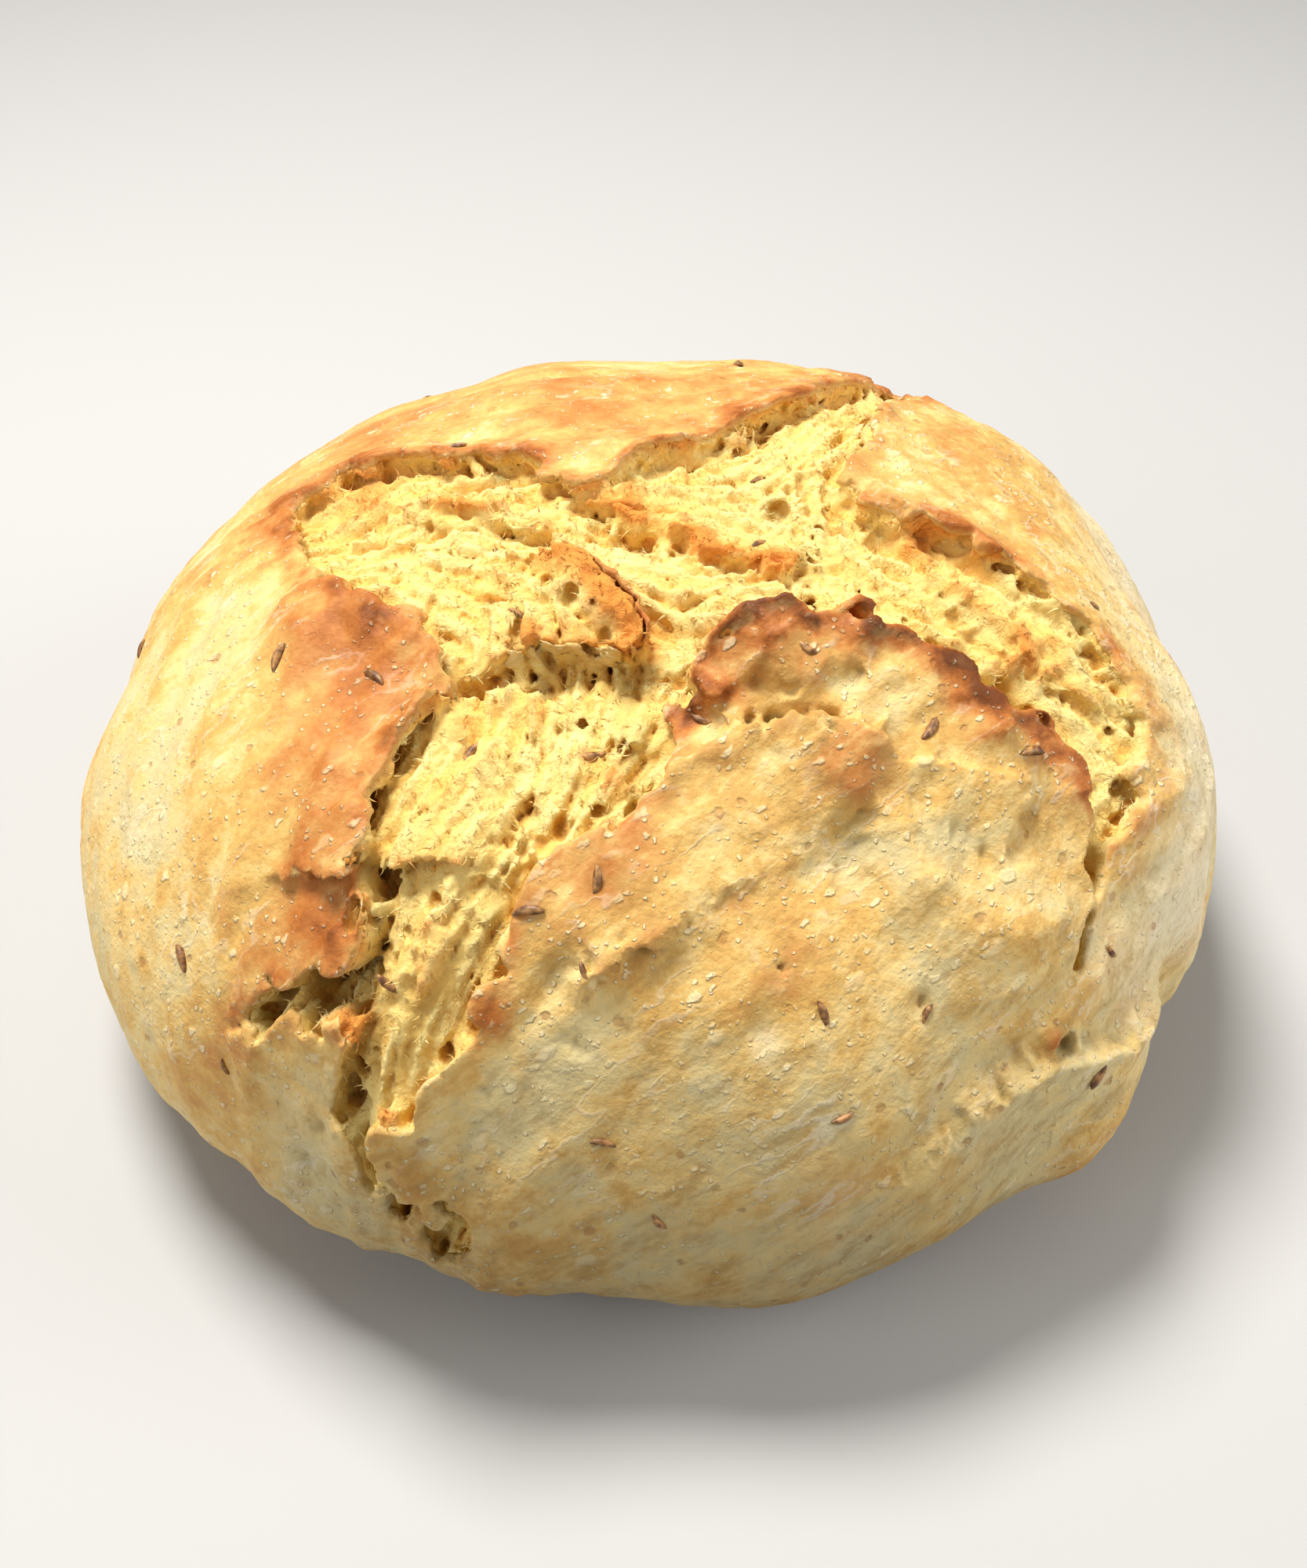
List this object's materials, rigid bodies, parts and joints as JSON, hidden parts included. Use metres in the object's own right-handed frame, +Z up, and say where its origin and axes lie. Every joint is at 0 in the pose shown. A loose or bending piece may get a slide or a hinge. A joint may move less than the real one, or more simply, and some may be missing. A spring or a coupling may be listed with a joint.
{
  "type": "white rye bread",
  "caption": "Round hand-shaped loaf of white rye bread with a domed golden crust torn open across the top over pale crumb, with caraway seeds baked in.",
  "frame": {"origin": "middle of the loaf's width and depth, on the surface that it rests on", "axes": "+Z up through the crown; -Y towards the tall smooth front of the crust; +X to the right as seen from the front"},
  "size_m": [0.1908, 0.1914, 0.0957],
  "materials": {
    "crust": "baked crust, golden to brown, dusted with a little flour, matt to faintly satin"
  },
  "bodies": {
    "root": {"loaf": "crust"}
  },
  "joints": []
}
